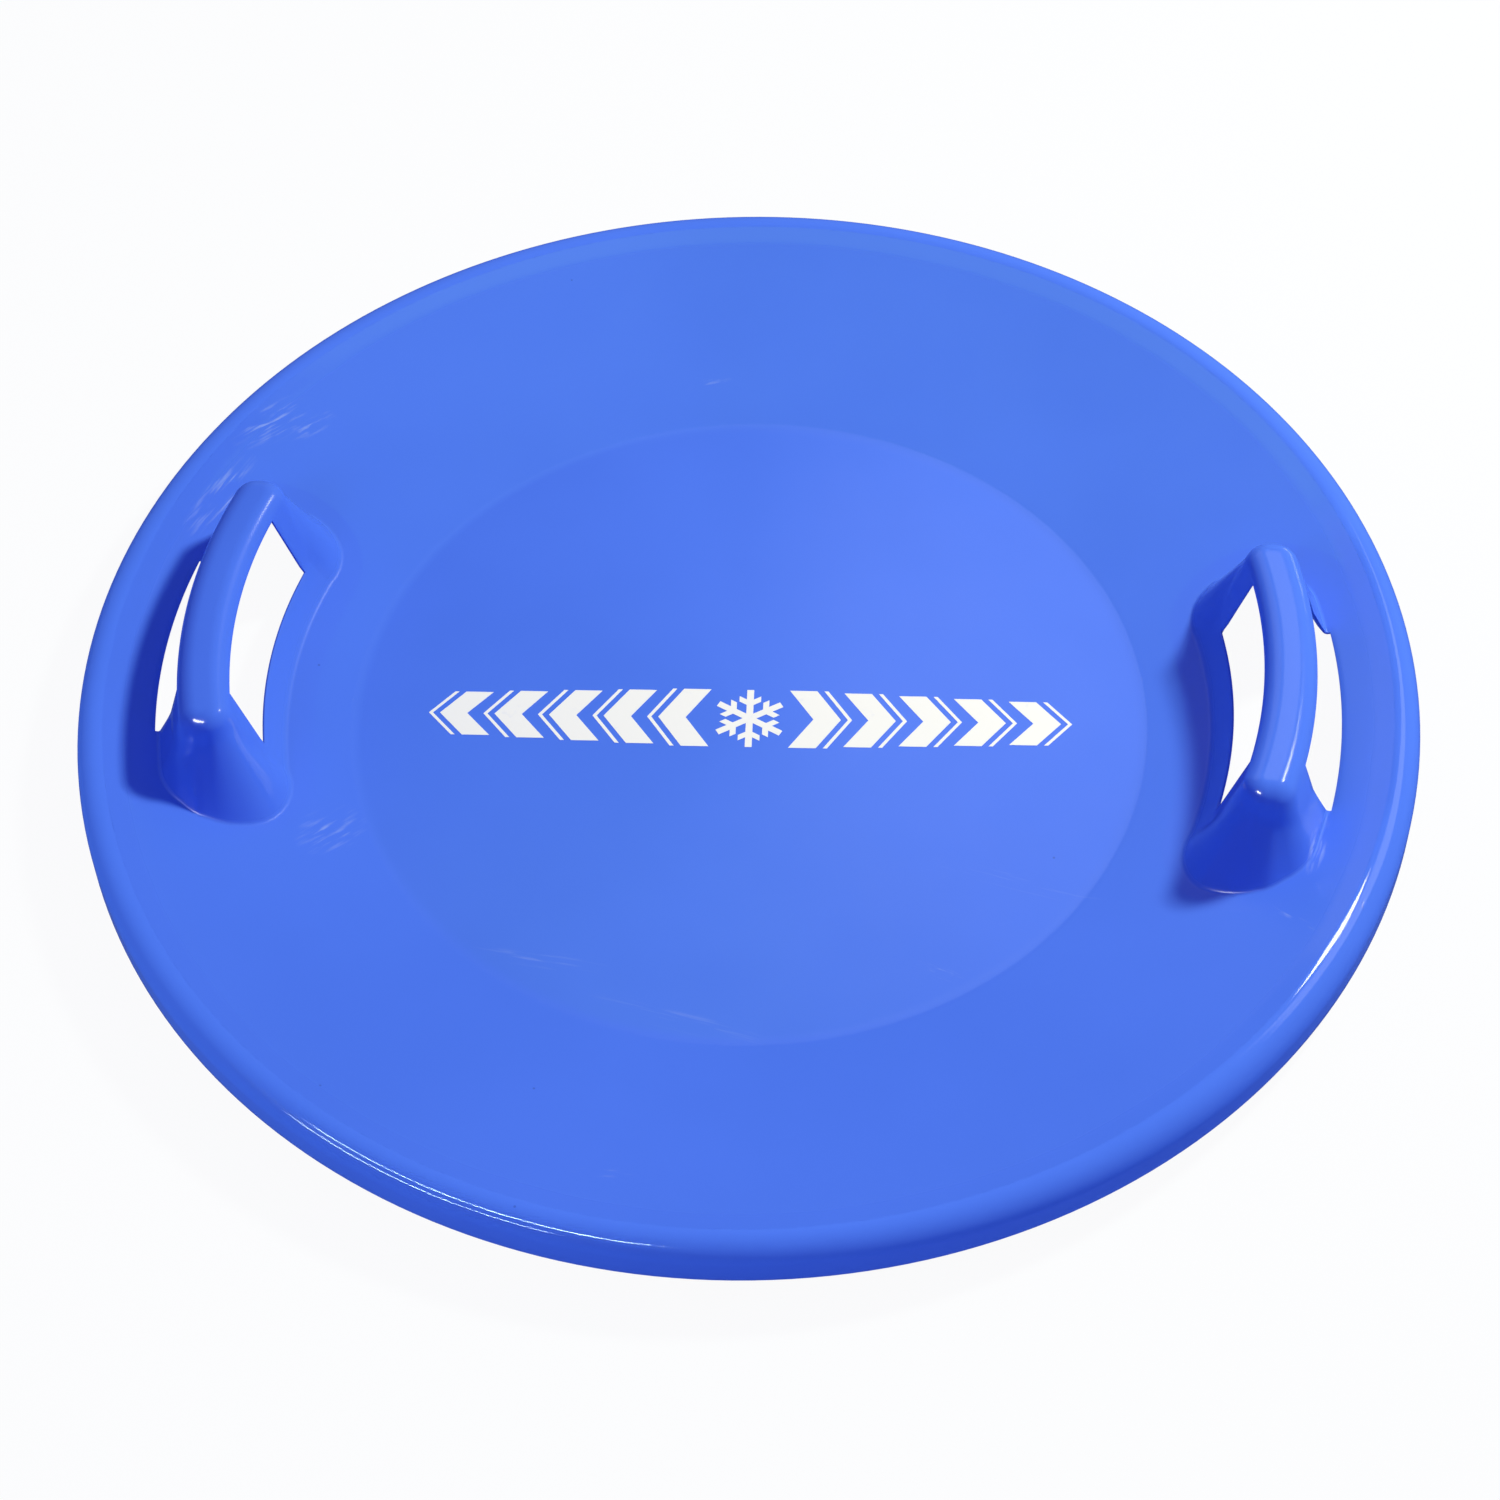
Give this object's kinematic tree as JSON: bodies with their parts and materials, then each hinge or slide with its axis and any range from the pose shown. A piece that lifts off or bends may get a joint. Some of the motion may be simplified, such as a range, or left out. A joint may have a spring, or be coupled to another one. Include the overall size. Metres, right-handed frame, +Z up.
{
  "type": "saucer sled",
  "caption": "Round moulded plastic saucer sled: a shallow dish with a flat floor, sloped side, rolled rim and a hollow hand grip over a slot at each side.",
  "frame": {"origin": "centre of the floor's underside, which the sled rests on", "axes": "+Z up, +X from the centre through the right handle, +Y to the rear"},
  "size_m": [0.6499, 0.65, 0.068],
  "materials": {
    "moulded_plastic": "glossy moulded blue plastic with fine scuffs",
    "white_print": "thin satin white print"
  },
  "bodies": {
    "root": {"seat_floor": "moulded_plastic", "side_wall": "moulded_plastic", "rolled_rim": "moulded_plastic", "left_handle": "moulded_plastic", "right_handle": "moulded_plastic"}
  },
  "joints": []
}
